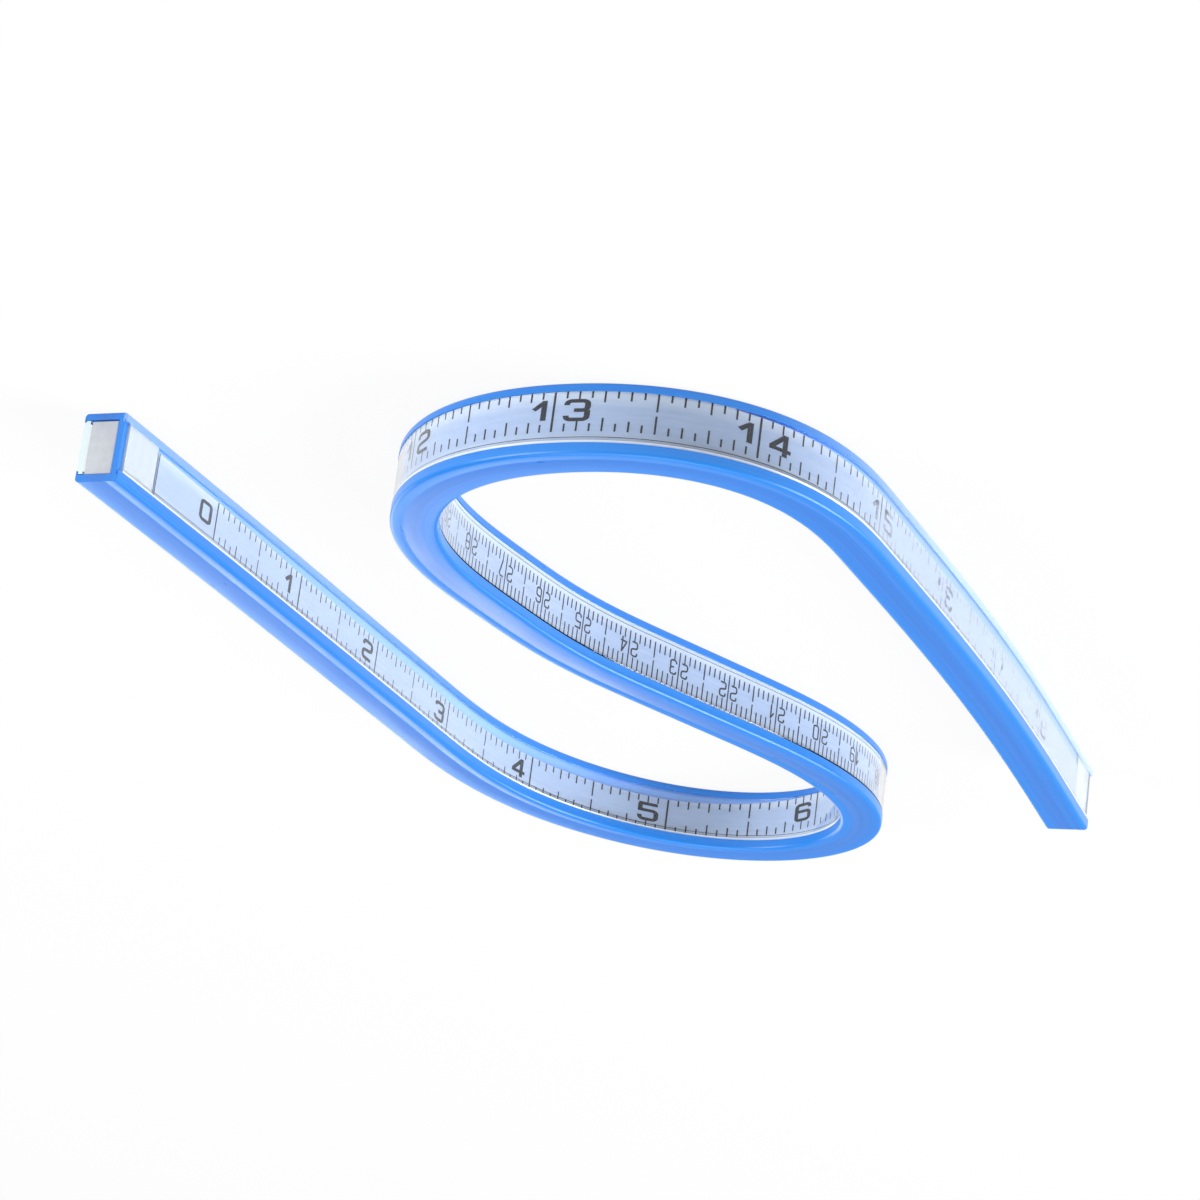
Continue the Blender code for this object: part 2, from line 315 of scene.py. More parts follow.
# Painted light on the web between the lips, where it lies in shade behind the inch window.
behind_window = ramp(tree, between(tree, "Z", 0.0, HEIGHT), BEHIND_WINDOW, "CONSTANT")
line_share = spread(tree, drawn_lines, 0, 1)
painted_light_web = mixed_colour(tree, line_share, (0.19, 0.41, 0.90), (0.27, 0.50, 0.95))
between_lips = mix_of(tree, behind_window, blue, painted_light_web)
past_start = mix_of(tree, between(tree, "X", MOUTH - FADE, MOUTH), blue, between_lips)
end_of_web = between(tree, "X", LENGTH - MOUTH + FADE, LENGTH - MOUTH)
everywhere = mix_of(tree, end_of_web, blue, past_start)
# Painted glare on the outer lower lip of the inch side.
painted_glare = mixed_colour(tree, line_share, (0.46, 0.66, 0.95), (0.58, 0.76, 0.98))
on_inch_lip = between(tree, "Y", OUTER - LIP_DEPTH - FADE, OUTER - LIP_DEPTH)
inch_lip = mix_of(tree, on_inch_lip, everywhere, painted_glare)
lower_inch_lip = mix_of(tree, between(tree, "Z", LOWER_LIP + FADE, LOWER_LIP), everywhere, inch_lip)
painted_glare_along = ramp(tree, between(tree, "X", 0.0, LENGTH), GLARE_ALONG)
tree.links.new(mix_of(tree, painted_glare_along, everywhere, lower_inch_lip), shader.inputs["Base Color"])
tree.links.new(spread(tree, cloudy, 0.26, 0.38), shader.inputs["Roughness"])
add_bump(tree, shader, drawn_lines, 0.000008, 0.5)


def sleeve_length(name, web_faces, first, last):
    """A length of the sleeve, with its web between these two faces."""
    outline = [
        (-OUTER, 0.0),
        (FLAT_FROM - OUTER, 0.0),
        (OUTER - FLAT_FROM, 0.0),
        (OUTER, 0.0),
        (OUTER, LOWER_LIP),
        (OUTER - HOOK, LOWER_LIP),
        (OUTER - HOOK, CAVITY_FLOOR),
        (web_faces[1], CAVITY_FLOOR),
        (web_faces[1], CAVITY_ROOF),
        (OUTER - HOOK, CAVITY_ROOF),
        (OUTER - HOOK, UPPER_LIP),
        (OUTER, UPPER_LIP),
        (OUTER, HEIGHT),
        (OUTER - FLAT_FROM, HEIGHT),
        (GROOVE_PLACE + GROOVE_WIDTH / 2, HEIGHT),
        (GROOVE_PLACE, HEIGHT - GROOVE_DEPTH),
        (GROOVE_PLACE - GROOVE_WIDTH / 2, HEIGHT),
        (FLAT_FROM - OUTER, HEIGHT),
        (-OUTER, HEIGHT),
        (-OUTER, UPPER_LIP),
        (HOOK - OUTER, UPPER_LIP),
        (HOOK - OUTER, CAVITY_ROOF),
        (web_faces[0], CAVITY_ROOF),
        (web_faces[0], CAVITY_FLOOR),
        (HOOK - OUTER, CAVITY_FLOOR),
        (HOOK - OUTER, LOWER_LIP),
        (-OUTER, LOWER_LIP),
    ]
    corners = [
        number
        for number, (across, up) in enumerate(outline)
        if abs(across) == OUTER and up in (0.0, HEIGHT)
    ]
    sleeve = long_piece(name, outline, first, last, corners, EDGE_ROUNDING, EDGE_SEGMENTS)
    sleeve.data.materials.append(pvc)
    return sleeve


for span in SPANS:
    sleeve = sleeve_length(f"sleeve_span_{span}", WEB_FACES, *span_ends(span, MOUTH))
    stand_for(span, "sleeve")
    bend_with_frame(sleeve)
for name, section, start in (("start", "section_1", 0.0), ("end", "section_7", LENGTH - MOUTH)):
    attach(sleeve_length(f"sleeve_mouth_{name}", MOUTH_WEB_FACES, start, start + MOUTH), section)

# The lead core
# A soft lead bar drawn to size, which keeps whatever bend the ruler is given. It lies in the deep
# side of the channel between the two steel strips, and stops short of the plugs.
CORE_FACES = (-0.00145, 0.00095)
STRIP_FLOOR = 0.00095
STRIP_ROOF = 0.0081
CORE_STOP = 0.0063


def bar_outline(right, left, bottom, top):
    """The plain section of a bar or a strip, between its right and left faces."""
    return [(right, bottom), (left, bottom), (left, top), (right, top)]


lead, tree, shader = new_finish("lead", (0.17, 0.18, 0.2), 0.55)
shader.inputs["Metallic"].default_value = 1.0
dull_patches = straight_noise(tree, (0.004, 0.0015, 0.0015), detail=4.0)
tarnish = mixed_colour(tree, spread(tree, dull_patches, 0, 1), (0.12, 0.13, 0.15), (0.22, 0.23, 0.26))
tree.links.new(tarnish, shader.inputs["Base Color"])
tree.links.new(spread(tree, dull_patches, 0.5, 0.72), shader.inputs["Roughness"])
add_bump(tree, shader, dull_patches, 0.00005, 0.5)

for span in SPANS:
    outline = bar_outline(*CORE_FACES, STRIP_FLOOR, STRIP_ROOF)
    core = long_piece(f"lead_core_span_{span}", outline, *span_ends(span, CORE_STOP))
    core.data.materials.append(lead)
    stand_for(span, "lead_core")
    bend_with_frame(core)

# The spring steel strips
# Two thin bright strips, rolled flat, one against each broad face of the lead. They make the ruler
# bend in an even curve. They lie loose in the channel and slide a little as it bends.
STEEL_FACES = {"inch": (0.00105, 0.0013), "cm": (-0.0018, -0.00155)}

steel, tree, shader = new_finish("spring_steel", (0.56, 0.57, 0.59), 0.28)
shader.inputs["Metallic"].default_value = 1.0
rolling_lines = straight_noise(tree, (0.05, 0.0002, 0.0002), detail=3.0)
sheen = mixed_colour(tree, spread(tree, rolling_lines, 0, 1), (0.48, 0.49, 0.51), (0.62, 0.63, 0.65))
tree.links.new(sheen, shader.inputs["Base Color"])
tree.links.new(spread(tree, rolling_lines, 0.22, 0.38), shader.inputs["Roughness"])
add_bump(tree, shader, rolling_lines, 0.000005, 0.5)

for side, faces in STEEL_FACES.items():
    for span in SPANS:
        outline = bar_outline(*faces, STRIP_FLOOR, STRIP_ROOF)
        strip = long_piece(f"steel_strip_{side}_span_{span}", outline, *span_ends(span, CORE_STOP))
        strip.data.materials.append(steel)
        stand_for(span, f"steel_strip_{side}")
        bend_with_frame(strip)

# The two scale strips
# Thin white plastic film, printed before it is slid in under the lips of its slot. The inch scale lies
# on the web, and the centimetre scale covers the deep side of the channel. Both are painted darker
# along the middle than at their margins, a painted reflection of the window.
SCALE_FACES = {"inch": (0.00225, 0.0024), "cm": (-0.00205, -0.0019)}
SCALE_STOP = 0.0095

# The inch strip stands unevenly in its slot: at each share of the length, its lower edge and its
# print stand this much too high.
INCH_RISES = (
    (0.0, 0.0006),
    (0.05, 0.0008),
    (0.1, 0.0013),
    (0.2, 0.0017),
    (0.3, 0.0016),
    (0.353, 0.0001),
    (0.717, 0.0),
    (0.782, 0.0009),
    (0.832, 0.0014),
    (1.0, 0.0016),
)


def inch_rise(along):
    """How much too high the inch strip's lower edge and its print stand here."""
    shares, rises = zip(*INCH_RISES)
    return float(np.interp(along / LENGTH, shares, rises))


def no_rise(along):
    """What lies level in its slot."""
    return 0.0


RISES = {"inch": inch_rise, "cm": no_rise}

# The stops of the painted reflection, darker along the middle, in shares of the height
FILM_PAINTED_REFLECTION = ((0.174, 0.0), (0.326, 1.0), (0.652, 1.0), (0.783, 0.5))

film, tree, shader = new_finish("white_film", (0.72, 0.78, 0.9), 0.45)
pressing = straight_noise(tree, (0.006, 0.0004, 0.0004), detail=3.0)
# The darker middle of the film is a painted reflection.
painted_reflection_band = ramp(tree, between(tree, "Z", 0.0, HEIGHT), FILM_PAINTED_REFLECTION)
margins = mixed_colour(tree, spread(tree, pressing, 0, 1), (0.55, 0.61, 0.73), (0.63, 0.68, 0.78))
middle = mixed_colour(tree, spread(tree, pressing, 0, 1), (0.36, 0.45, 0.65), (0.42, 0.51, 0.70))
tree.links.new(mix_of(tree, painted_reflection_band, margins, middle), shader.inputs["Base Color"])
tree.links.new(spread(tree, pressing, 0.38, 0.52), shader.inputs["Roughness"])
add_bump(tree, shader, pressing, 0.00001, 0.5)

for side, faces in SCALE_FACES.items():
    for span in SPANS:
        strip = long_piece(
            f"scale_{side}_span_{span}",
            bar_outline(*faces, STRIP_FLOOR, STRIP_ROOF),
            *span_ends(span, SCALE_STOP),
            rise=RISES[side],
        )
        strip.data.materials.append(film)
        stand_for(span, f"scale_{side}")
        bend_with_frame(strip)

# The printing of the inch scale
# Black ink on the film, read with the ruler upside down: sixteenths from both edges, a full line at
# each inch, and wide square numerals, one digit before its line or two digits across it. On the last
# stretch a painted glare fades it to pale blue in patches.
INK_LIFT = 0.000015
INCH = 0.0254
INCH_ZERO = 0.0263
INCH_COUNT = 18
INCH_PRINT_FACE = SCALE_FACES["inch"][1] + INK_LIFT
INCH_TICKS_FROM = 0.0031
INCH_TICKS_TO = HEIGHT - 0.00097
TICK_WIDTH = 0.00024
INCH_LINE_WIDTH = 0.0003
STRIP_EDGE_SHADOW_INSET = 0.0002
STRIP_EDGE_SHADOW_WIDTH = 0.00022
GLARE_FROM = 0.75 * LENGTH
GLARE_TO = 0.82 * LENGTH
INCH_SIDE_FROM = 0.001

# How long the marks are at the foot and at the top of the print, for each number of sixteenths
INCH_TICKS = {8: (0.0023, 0.0023), 4: (0.0017, 0.00145), 2: (0.00135, 0.0012), 1: (0.0010, 0.0009)}
INCH_DIGIT = {"width": 0.0034, "height": 0.00238, "nib": 0.00047, "radius": 0.0004, "widened": 1.6}
INCH_DIGIT_GAP = 0.0013
INCH_DIGIT_FOOT = 0.0046
NARROW_ONE = 0.5
PEN_STEP = 0.0005
TURN_STEPS = 5

# The strokes of each digit, point by point, in shares of its width and its height
DIGIT_STROKES = {
    "0": [[(0, 0.5), (0, 1), (1, 1), (1, 0), (0, 0), (0, 0.5)]],
    "1": [[(0.5, 0), (0.5, 1.08)], [(0.42, 0.95), (-0.02, 0.6)]],
    "2": [[(0, 0.74), (0, 1), (1, 1), (1, 0.54), (0, 0.42), (0, 0), (1, 0)]],
    "3": [[(0, 0.78), (0, 1), (1, 1), (1, 0.5), (0.36, 0.5)], [(1, 0.5), (1, 0), (0, 0), (0, 0.22)]],
    "4": [[(0.76, -0.08), (0.76, 1.06)], [(0.72, 0.98), (0.0, 0.28)], [(-0.1, 0.24), (1.1, 0.24)]],
    "5": [
        [(1.05, 1), (-0.1, 1)],
        [(0, 1), (0, 0.5)],
        [(-0.1, 0.58), (1, 0.58), (1, 0), (0, 0), (0, 0.24)],
    ],
    "6": [[(1, 0.78), (1, 1), (0, 1), (0, 0), (1, 0), (1, 0.56), (0.08, 0.56)]],
    "7": [[(0, 1), (1, 1), (0.42, -0.08)]],
    "8": [[(0, 0.5), (0, 1), (1, 1), (1, 0), (0, 0), (0, 0.5)], [(0.08, 0.52), (0.92, 0.52)]],
    "9": [[(0, 0.22), (0, 0), (1, 0), (1, 1), (0, 1), (0, 0.44), (0.92, 0.44)]],
}


def pen_stroke(mesh, points, nib, radius):
    """Draws a line through these points with a flat nib, rounding each corner that it turns."""
    points = [Vector((*point, 0)) for point in points]
    ahead = (points[1] - points[0]).normalized()
    at = points[0]
    half_nib = Vector((-ahead.y, ahead.x, 0)) * nib / 2
    edge = mesh.edges.new([mesh.verts.new(at - half_nib), mesh.verts.new(at + half_nib)])
    for number, corner in enumerate(points[1:], 2):
        turn = 0.0
        if number < len(points):
            after = (points[number] - corner).normalized()
            turn = math.atan2(ahead.cross(after).z, ahead.dot(after))
        cut_short = radius * math.tan(abs(turn) / 2)
        run = corner - ahead * cut_short - at
        steps = max(1, math.ceil(run.length / PEN_STEP))
        for _ in range(steps):
            grown = bmesh.ops.extrude_edge_only(mesh, edges=[edge])["geom"]
            edge = next(part for part in grown if isinstance(part, bmesh.types.BMEdge))
            bmesh.ops.translate(mesh, verts=edge.verts, vec=run / steps)
        if turn:
            to_centre = Vector((-ahead.y, ahead.x, 0)) * math.copysign(radius, turn)
            centre = corner - ahead * cut_short + to_centre
            turned = bmesh.ops.spin(
                mesh,
                geom=[edge, *edge.verts],
                cent=centre,
                axis=(0, 0, 1),
                angle=turn,
                steps=TURN_STEPS,
                use_duplicate=False,
            )["geom_last"]
            edge = next(part for part in turned if isinstance(part, bmesh.types.BMEdge))
            at = corner + after * cut_short
            ahead = after


def digit_width(digit, style):
    """How wide this digit is; a 1 takes less room than the others."""
    return style["width"] * (NARROW_ONE if digit == "1" else 1.0)


def draw_digit(mesh, digit, left, foot, style):
    """Draws one digit narrow, its left edge and foot here, and widens it so its uprights grow bolder."""
    before = set(mesh.verts)
    nib = style["nib"]
    inner_width = style["width"] / style["widened"] - nib
    for stroke in DIGIT_STROKES[digit]:
        points = [(left + nib / 2 + x * inner_width, foot + y * style["height"]) for x, y in stroke]
        pen_stroke(mesh, points, nib, style["radius"])
    drawn = [vert for vert in mesh.verts if vert not in before]
    from_left = Matrix.Translation((-left, 0, 0))
    bmesh.ops.scale(mesh, vec=(style["widened"], 1, 1), verts=drawn, space=from_left)


def draw_bar(mesh, at, bottom, top, width):
    """Draws one upright mark."""
    place = Matrix.LocRotScale((at, (bottom + top) / 2, 0), None, (width, top - bottom, 1))
    bmesh.ops.create_grid(mesh, x_segments=1, y_segments=1, size=0.5, matrix=place)


def draw_number(mesh, number, line, foot, gap, style):
    """One digit stands a full digit's width before its line; of two, one stands on each side of it."""
    digits = str(number)
    room = digit_width(digits[0], style) if len(digits) == 2 else style["width"]
    draw_digit(mesh, digits[0], line - gap - room, foot, style)
    if len(digits) == 2:
        draw_digit(mesh, digits[1], line + gap, foot, style)


def print_on(name, mesh, zero, face, upright, rise):
    """Lays a flat drawing on the outer face of a bent strip, and returns the object.

    The drawing's X is measured from the zero mark along the face, which is longer than the centreline
    on the outside of a bend. Its Y is the height, counted down from the roof where it reads upside down.
    """
    mesh.normal_update()
    bmesh.ops.reverse_faces(mesh, faces=[part for part in mesh.faces if part.normal.z < 0])
    for vert in mesh.verts:
        along = float(np.interp(vert.co.x, reach_along(face, zero), ALONG))
        vert.co = (along, face, (vert.co.y if upright else HEIGHT - vert.co.y) + rise(along))
    return lay_on_course(name, mesh)


def reach_along(face, zero):
    """How far along this face each place on the course is from the zero mark."""
    return (ALONG - zero) - face * (HEADING - np.interp(zero, ALONG, HEADING))


def span_of(distance, face, zero):
    """The span that this distance from the zero mark falls on."""
    along = np.interp(distance, reach_along(face, zero), ALONG)
    return next(span for span in SPANS if along <= MEETINGS[span] or span == SPANS[-1])


ink, tree, shader = new_finish("black_ink", (0.004, 0.006, 0.016), 0.5)
shader.inputs["Specular IOR Level"].default_value = 0.05
thin_ink = straight_noise(tree, (0.0004, 0.0004, 0.0004), detail=3.0)
blacks = mixed_colour(tree, spread(tree, thin_ink, 0, 1), (0.002, 0.004, 0.012), (0.010, 0.014, 0.034))
# Painted glare: on the last stretch the inch ink fades in patches to a pale blue.
glare_patches = straight_noise(tree, (0.0016, 0.0010, 0.0010), detail=3.0)
glare_share = spread(tree, glare_patches, 0, 1, start=0.44, end=0.56)
glare_faded_ink = mixed_colour(tree, glare_share, (0.06, 0.08, 0.13), (0.48, 0.55, 0.72))
painted_glare_end = mix_of(tree, between(tree, "X", GLARE_FROM, GLARE_TO), blacks, glare_faded_ink)
inch_ink_under_glare = mix_of(tree, between(tree, "Y", 0.0, INCH_SIDE_FROM), blacks, painted_glare_end)
tree.links.new(inch_ink_under_glare, shader.inputs["Base Color"])
tree.links.new(spread(tree, thin_ink, 0.4, 0.6), shader.inputs["Roughness"])

inch_prints = {span: bmesh.new() for span in SPANS}
for sixteenth in range(16 * INCH_COUNT + 1):
    distance = sixteenth * INCH / 16
    mesh = inch_prints[span_of(distance, INCH_PRINT_FACE, INCH_ZERO)]
    if sixteenth % 16 == 0:
        draw_bar(mesh, distance, INCH_TICKS_FROM, INCH_TICKS_TO, INCH_LINE_WIDTH)
        continue
    size = next(size for size in INCH_TICKS if sixteenth % size == 0)
    from_foot, from_top = INCH_TICKS[size]
    draw_bar(mesh, distance, INCH_TICKS_FROM, INCH_TICKS_FROM + from_foot, TICK_WIDTH)
    draw_bar(mesh, distance, INCH_TICKS_TO - from_top, INCH_TICKS_TO, TICK_WIDTH)
for number in range(INCH_COUNT + 1):
    mesh = inch_prints[span_of(number * INCH, INCH_PRINT_FACE, INCH_ZERO)]
    draw_number(mesh, number, number * INCH, INCH_DIGIT_FOOT, INCH_DIGIT_GAP, INCH_DIGIT)
# Painted shadow: a dark line in ink just inside the start edge of the inch strip.
strip_edge_shadow = SCALE_STOP + STRIP_EDGE_SHADOW_INSET - INCH_ZERO
draw_bar(inch_prints[1], strip_edge_shadow, HEIGHT - STRIP_ROOF, HEIGHT - STRIP_FLOOR, STRIP_EDGE_SHADOW_WIDTH)
for span, mesh in inch_prints.items():
    printing = print_on(f"inch_print_span_{span}", mesh, INCH_ZERO, INCH_PRINT_FACE, False, inch_rise)
    printing.data.materials.append(ink)
    bend_with_frame(printing)

# A painted dark line, painted shade along the top edge of the window, runs the whole length of the film
# at one height, and doesn't rise with the print.
PAINTED_LINE_WIDTH = 0.00008
INCH_SHADE_LINE = 0.00684


def draw_border(mesh, span, height, zero, face):
    """Draws a fine line the length of the span, at one height."""
    start, end = np.interp(span_ends(span, SCALE_STOP), ALONG, reach_along(face, zero))
    pen_stroke(mesh, [(start, height), (end, height)], PAINTED_LINE_WIDTH, 0.0)


for span in SPANS:
    mesh = bmesh.new()
    draw_border(mesh, span, INCH_SHADE_LINE, INCH_ZERO, INCH_PRINT_FACE)
    shade_line = print_on(f"inch_border_span_{span}", mesh, INCH_ZERO, INCH_PRINT_FACE, True, no_rise)
    shade_line.data.materials.append(ink)
    bend_with_frame(shade_line)

# The printing of the centimetre scale
# The same ink, read with the ruler the right way up: millimetres from both edges, longer at each five,
# and a full line at each centimetre with small thin numerals. Along the foot runs a painted dark line,
# painted shade that stands for the refraction at the window's lower edge.
CM = 0.01
CM_ZERO = 0.033
CM_COUNT = 46
CM_PRINT_FACE = SCALE_FACES["cm"][0] - INK_LIFT
CM_FLOOR = 0.0020
CM_TOP = 0.0075
CM_TICK_WIDTH = 0.00024
CM_TICKS = {5: (0.0023, 0.0028), 1: (0.0013, 0.0019)}
CM_DIGIT = {"width": 0.0014, "height": 0.00195, "nib": 0.00024, "radius": 0.0003, "widened": 1.2}
CM_DIGIT_GAP = 0.0004
CM_DIGIT_FOOT = 0.0034
CM_SHADE_LINE = 0.00142

cm_prints = {span: bmesh.new() for span in SPANS}
for millimetre in range(10 * CM_COUNT + 1):
    distance = millimetre * CM / 10
    mesh = cm_prints[span_of(distance, CM_PRINT_FACE, CM_ZERO)]
    if millimetre % 10 == 0:
        draw_bar(mesh, distance, CM_FLOOR, CM_TOP, CM_TICK_WIDTH)
        continue
    size = next(size for size in CM_TICKS if millimetre % size == 0)
    from_foot, from_top = CM_TICKS[size]
    draw_bar(mesh, distance, CM_FLOOR, CM_FLOOR + from_foot, CM_TICK_WIDTH)
    draw_bar(mesh, distance, CM_TOP - from_top, CM_TOP, CM_TICK_WIDTH)
for number in range(CM_COUNT + 1):
    mesh = cm_prints[span_of(number * CM, CM_PRINT_FACE, CM_ZERO)]
    draw_number(mesh, number, number * CM, CM_DIGIT_FOOT, CM_DIGIT_GAP, CM_DIGIT)
for span, mesh in cm_prints.items():
    # A painted dark line along the foot, painted shade for the window's refraction at its lower edge.
    draw_border(mesh, span, CM_SHADE_LINE, CM_ZERO, CM_PRINT_FACE)
    printing = print_on(f"cm_print_span_{span}", mesh, CM_ZERO, CM_PRINT_FACE, True, no_rise)
    printing.data.materials.append(ink)
    bend_with_frame(printing)

# The clear windows
# Clear plastic strips over the scales. Their thin edges are sprung in behind the hooks of the lips, and
# their thick middles come out between the lips, rounded below and bevelled above. The centimetre one
# is sawn off flush with the sleeve, and the inch one behind its mouths.
WINDOW_INNER = {"inch": 0.0025, "cm": -0.00215}
FLANGE_FACE = 0.00275
WINDOW_FACE = 0.0030
WINDOW_FLOOR = 0.00112
WINDOW_ROOF = 0.00768
WINDOW_ROUNDING = 0.0002
WINDOW_SEGMENTS = 4
WINDOW_FLAT_FROM = 0.0003
SHOULDER_HEIGHT = {"inch": 0.0003, "cm": 0.0002}
SHOULDER_DEPTH = 0.0002
SHOULDER_MARGIN = 0.00001
WINDOW_STOP = {"inch": 0.0011, "cm": 0.0}
SAWN_LOOK = 1
HIGHLIGHT_LOOK = 2


def show_either(tree, share, first, second, output="Material Output"):
    """Shows the first shader where the share is 0, and the second where it is 1."""
    either = tree.nodes.new("ShaderNodeMixShader")
    tree.links.new(share, either.inputs["Fac"])
    tree.links.new(first, either.inputs[1])
    tree.links.new(second, either.inputs[2])
    tree.links.new(either.outputs["Shader"], tree.nodes[output].inputs["Surface"])


clear, tree, shader = new_finish("clear_plastic", (0.95, 0.98, 1.0), 0.03)
shader.inputs["Transmission Weight"].default_value = 1.0
shader.inputs["IOR"].default_value = 1.45
shader.inputs["Specular IOR Level"].default_value = 0.12
flow_lines = straight_noise(tree, (0.05, 0.0008, 0.0008))
add_bump(tree, shader, flow_lines, 0.00001, 0.4)
path = tree.nodes.new("ShaderNodeLightPath")
open_air = tree.nodes.new("ShaderNodeBsdfTransparent")
open_air.inputs["Color"].default_value = (0.93, 0.97, 1.0, 1)
show_either(tree, path.outputs["Is Shadow Ray"], shader.outputs["BSDF"], open_air.outputs["BSDF"])

sawn, tree, shader = new_finish("clear_plastic_cut_end", (0.78, 0.91, 0.97), 0.6)
saw_marks = straight_noise(tree, (0.0001, 0.0001, 0.0006), detail=4.0)
hazy = mixed_colour(tree, spread(tree, saw_marks, 0, 1), (0.70, 0.87, 0.95), (0.84, 0.94, 0.98))
tree.links.new(hazy, shader.inputs["Base Color"])
tree.links.new(spread(tree, saw_marks, 0.5, 0.7), shader.inputs["Roughness"])
add_bump(tree, shader, saw_marks, 0.00002, 0.5)

# The bevel along the top of the inch window is painted bright white, a painted highlight.
painted_highlight, tree, shader = new_finish("clear_plastic_painted_highlight", (0.97, 0.98, 1.0), 0.35)
shader.inputs["Coat Weight"].default_value = 0.6
shader.inputs["Coat Roughness"].default_value = 0.15
highlight_patches = straight_noise(tree, (0.003, 0.0002, 0.0002), detail=3.0)
highlight_white = mixed_colour(tree, spread(tree, highlight_patches, 0, 1), (0.94, 0.97, 1.0), (1.0, 1.0, 1.0))
tree.links.new(highlight_white, shader.inputs["Base Color"])
tree.links.new(spread(tree, highlight_patches, 0.3, 0.45), shader.inputs["Roughness"])

for side, inner in WINDOW_INNER.items():
    out = math.copysign(1, inner)
    shoulder = WINDOW_ROOF - SHOULDER_HEIGHT[side]
    lower_corner = (out * WINDOW_FACE, WINDOW_FLOOR)
    window_outline = [
        (inner, STRIP_FLOOR),
        (out * FLANGE_FACE, STRIP_FLOOR),
        (out * FLANGE_FACE, WINDOW_FLOOR),
        lower_corner,
        (out * WINDOW_FACE, WINDOW_FLOOR + WINDOW_FLAT_FROM),
        (out * WINDOW_FACE, shoulder - WINDOW_FLAT_FROM),
        (out * WINDOW_FACE, shoulder),
        (out * (WINDOW_FACE - SHOULDER_DEPTH), WINDOW_ROOF),
        (out * FLANGE_FACE, WINDOW_ROOF),
        (out * FLANGE_FACE, STRIP_ROOF),
        (inner, STRIP_ROOF),
    ]
    for span in SPANS:
        window = long_piece(
            f"window_{side}_span_{span}",
            window_outline,
            *span_ends(span, WINDOW_STOP[side]),
            rounded=[window_outline.index(lower_corner)],
            rounding=WINDOW_ROUNDING,
            segments=WINDOW_SEGMENTS,
            cut_look=SAWN_LOOK,
        )
        window.data.materials.append(clear)
        window.data.materials.append(sawn)
        # The bevel on top of the inch window takes the painted highlight.
        if side == "inch":
            window.data.materials.append(painted_highlight)
            for part in window.data.polygons:
                if shoulder < part.center.z <= WINDOW_ROOF + SHOULDER_MARGIN:
                    part.material_index = HIGHLIGHT_LOOK
        stand_for(span, f"window_{side}")
        bend_with_frame(window)

# The end plugs and slot fillers
# Pale grey plastic pieces pushed into both ends: a plug fills the deep side of the channel up to the
# centimetre window, its wider head reaches the web in the mouth, and a thin filler lies behind the
# inch window until the scale begins.
PLUG_SPAN = (0.0009, 0.006)
PLUG_FACES = (-0.00205, 0.0013)
HEAD_SPAN = (0.00015, 0.00095)
HEAD_FACES = (-0.00205, 0.0018)
FILLER_SPAN = (0.0011, 0.0092)
PLUG_ROUNDING = 0.0002
PLUG_SEGMENTS = 3
BLOCK_CUTS = 6

grey, tree, shader = new_finish("grey_plastic", (0.79, 0.82, 0.86), 0.45)
moulding = straight_noise(tree, (0.0012, 0.0012, 0.0012), detail=4.0)
greys = mixed_colour(tree, spread(tree, moulding, 0, 1), (0.54, 0.57, 0.61), (0.61, 0.63, 0.67))
tree.links.new(greys, shader.inputs["Base Color"])
tree.links.new(spread(tree, moulding, 0.38, 0.55), shader.inputs["Roughness"])
add_bump(tree, shader, moulding, 0.00001, 0.6)


def end_piece(name, section, right, left, first, last):
    """A short block with softened edges, laid in the end of the channel."""
    mesh = bmesh.new()
    size = (last - first, left - right, STRIP_ROOF - STRIP_FLOOR)
    middle = ((first + last) / 2, (left + right) / 2, (STRIP_ROOF + STRIP_FLOOR) / 2)
    bmesh.ops.create_cube(mesh, size=1.0, matrix=Matrix.LocRotScale(middle, None, size))
    bmesh.ops.bevel(
        mesh,
        geom=mesh.edges[:],
        offset=min(PLUG_ROUNDING, (left - right) / 3),
        segments=PLUG_SEGMENTS,
        profile=0.5,
        affect="EDGES",
        material=-1,
    )
    reach = {edge: abs(edge.verts[0].co.x - edge.verts[1].co.x) for edge in mesh.edges}
    lengthwise = [edge for edge in mesh.edges if reach[edge] > 2 * BEND_STEP]
    bmesh.ops.subdivide_edges(mesh, edges=lengthwise, cuts=BLOCK_CUTS, use_grid_fill=True)
    piece = lay_on_course(name, mesh)
    piece.data.materials.append(grey)
    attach(piece, section)
    return piece


for name, section, at_end in (("start", "section_1", False), ("end", "section_7", True)):
    for kind, ends, faces in (
        ("plug", PLUG_SPAN, PLUG_FACES),
        ("plug_head", HEAD_SPAN, HEAD_FACES),
        ("slot_filler", FILLER_SPAN, SCALE_FACES["inch"]),
    ):
        first, last = (LENGTH - ends[1], LENGTH - ends[0]) if at_end else ends
        piece = end_piece(f"{name}_{kind}_block", section, *faces, first, last)
        if kind != "plug_head":
            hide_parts(f"{name}_{kind}")

# The floor, the light and the camera
# A plain white studio table under soft light, seen from above with the camera turned over, so the
# inch scale reads upright. Camera, gloss and clear plastic see the table as white.
TABLE_HALF = 3.0
TABLE_GLOW = 0.9
WORLD_LIGHT = 0.28

floor_mesh = bmesh.new()
bmesh.ops.create_grid(floor_mesh, x_segments=1, y_segments=1, size=TABLE_HALF)
floor_data = bpy.data.meshes.new("floor")
floor_mesh.to_mesh(floor_data)
floor_mesh.free()
floor = bpy.data.objects.new("floor", floor_data)
bpy.context.scene.collection.objects.link(floor)


def greater(tree, first, second):
    """The greater of two values."""
    node = tree.nodes.new("ShaderNodeMath")
    node.operation = "MAXIMUM"
    tree.links.new(first, node.inputs[0])
    tree.links.new(second, node.inputs[1])
    return node.outputs["Value"]


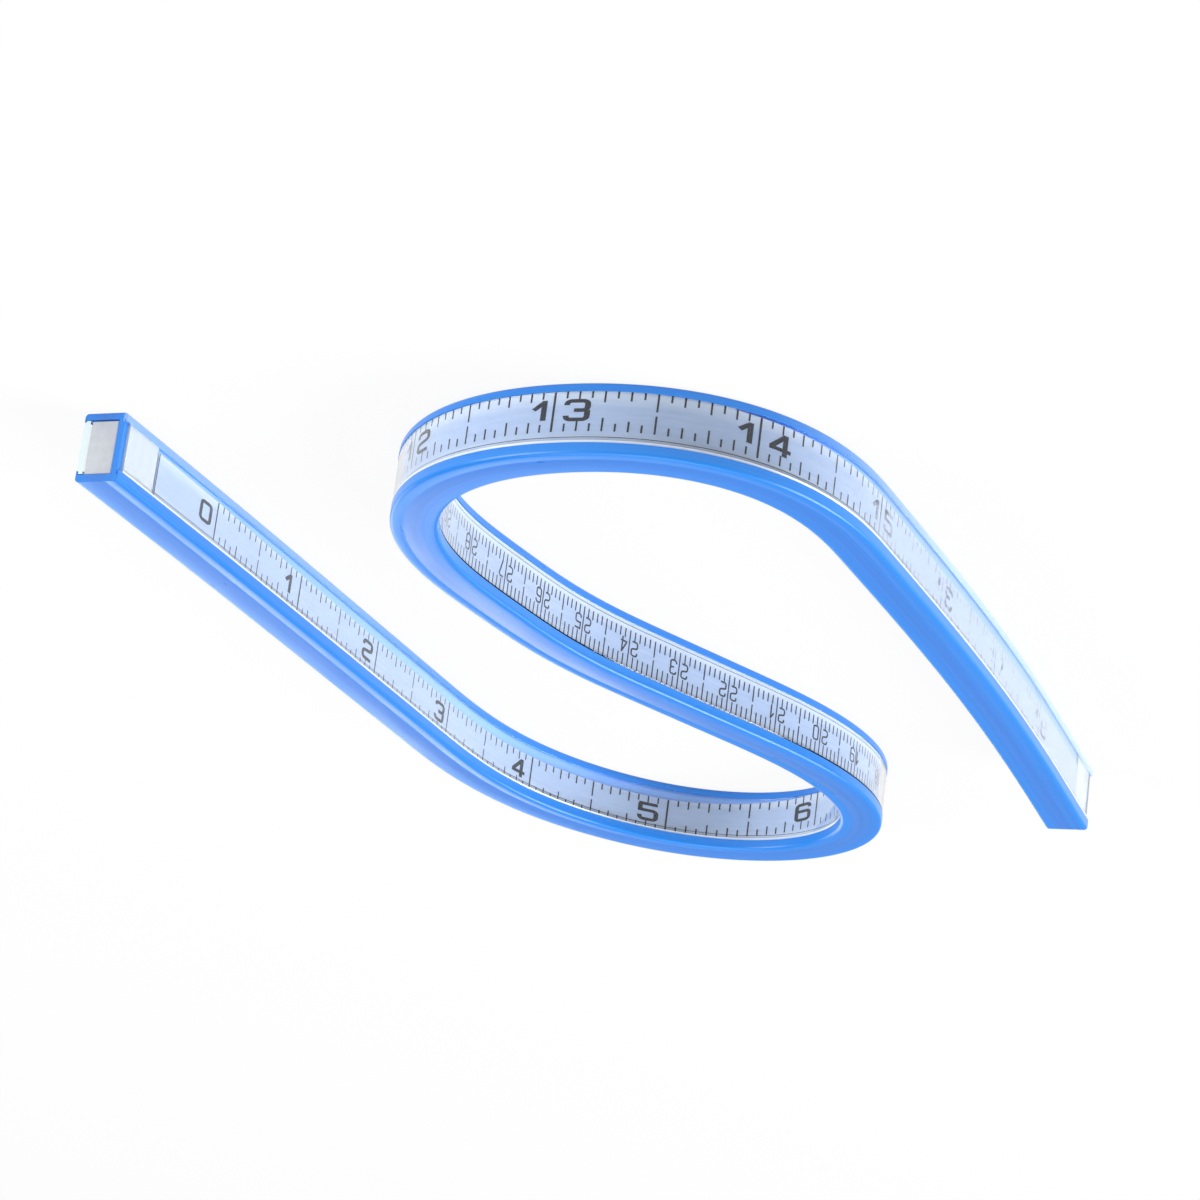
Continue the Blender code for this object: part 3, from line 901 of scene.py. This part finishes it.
paper, tree, shader = new_finish("white_table", (0.8, 0.8, 0.8), 0.9)
shader.inputs["Specular IOR Level"].default_value = 0.0
glow = tree.nodes.new("ShaderNodeEmission")
glow.inputs["Color"].default_value = (1, 1, 1, 1)
path = tree.nodes.new("ShaderNodeLightPath")
seen = greater(tree, path.outputs["Is Camera Ray"], path.outputs["Is Glossy Ray"])
seen_at_all = greater(tree, seen, path.outputs["Is Transmission Ray"])
share = tree.nodes.new("ShaderNodeMath")
share.operation = "MULTIPLY"
share.inputs[1].default_value = TABLE_GLOW
tree.links.new(seen_at_all, share.inputs[0])
show_either(tree, share.outputs["Value"], shader.outputs["BSDF"], glow.outputs["Emission"])
floor.data.materials.append(paper)

world = bpy.data.worlds.new("studio")
world.use_nodes = True
bpy.context.scene.world = world
tree = world.node_tree
soft = tree.nodes["Background"]
soft.inputs["Color"].default_value = (0.95, 0.97, 1.0, 1)
soft.inputs["Strength"].default_value = WORLD_LIGHT
white = tree.nodes.new("ShaderNodeBackground")
white.inputs["Color"].default_value = (1, 1, 1, 1)
white.inputs["Strength"].default_value = 1.0
path = tree.nodes.new("ShaderNodeLightPath")
show_either(
    tree,
    path.outputs["Is Camera Ray"],
    soft.outputs["Background"],
    white.outputs["Background"],
    output="World Output",
)


def soft_light(name, place, width, height, power):
    """A rectangular studio lamp, turned to the middle of the table, and not seen by the camera."""
    lamp = bpy.data.lights.new(name, "AREA")
    lamp.shape = "RECTANGLE"
    lamp.size = width
    lamp.size_y = height
    lamp.energy = power
    light = bpy.data.objects.new(name, lamp)
    light.location = place
    light.rotation_euler = (-Vector(place)).to_track_quat("-Z", "Y").to_euler()
    light.visible_camera = False
    bpy.context.scene.collection.objects.link(light)


soft_light("overhead_light", (0.1, -0.1, 1.0), width=0.9, height=0.9, power=5.0)
soft_light("far_light", (0.62, 1.35, 0.28), width=1.3, height=0.5, power=4.5)
soft_light("inch_side_light", (-1.0, 0.05, 0.6), width=0.8, height=0.6, power=13.0)
soft_light("start_side_light", (1.2, -0.5, 0.4), width=0.8, height=0.8, power=10.5)

LOOK_AT = Vector((0.0035, -0.00344, 0.0))
PITCH = math.radians(19.03)
ROLL = math.radians(187.47)
DISTANCE = 0.6014
LENS = 133.8
SENSOR = 36.0
camera_data = bpy.data.cameras.new("camera")
camera_data.lens = LENS
camera_data.sensor_width = SENSOR
camera = bpy.data.objects.new("camera", camera_data)
bpy.context.scene.collection.objects.link(camera)
bpy.context.scene.camera = camera
forward = Vector((0, math.cos(PITCH), -math.sin(PITCH)))
level_right = Vector((1, 0, 0))
level_up = level_right.cross(forward)
right = level_right * math.cos(ROLL) + level_up * math.sin(ROLL)
up = level_up * math.cos(ROLL) - level_right * math.sin(ROLL)
turned = Matrix((right, up, -forward)).transposed()
camera.matrix_world = Matrix.Translation(LOOK_AT - forward * DISTANCE) @ turned.to_4x4()

bpy.context.scene.view_settings.view_transform = "Standard"
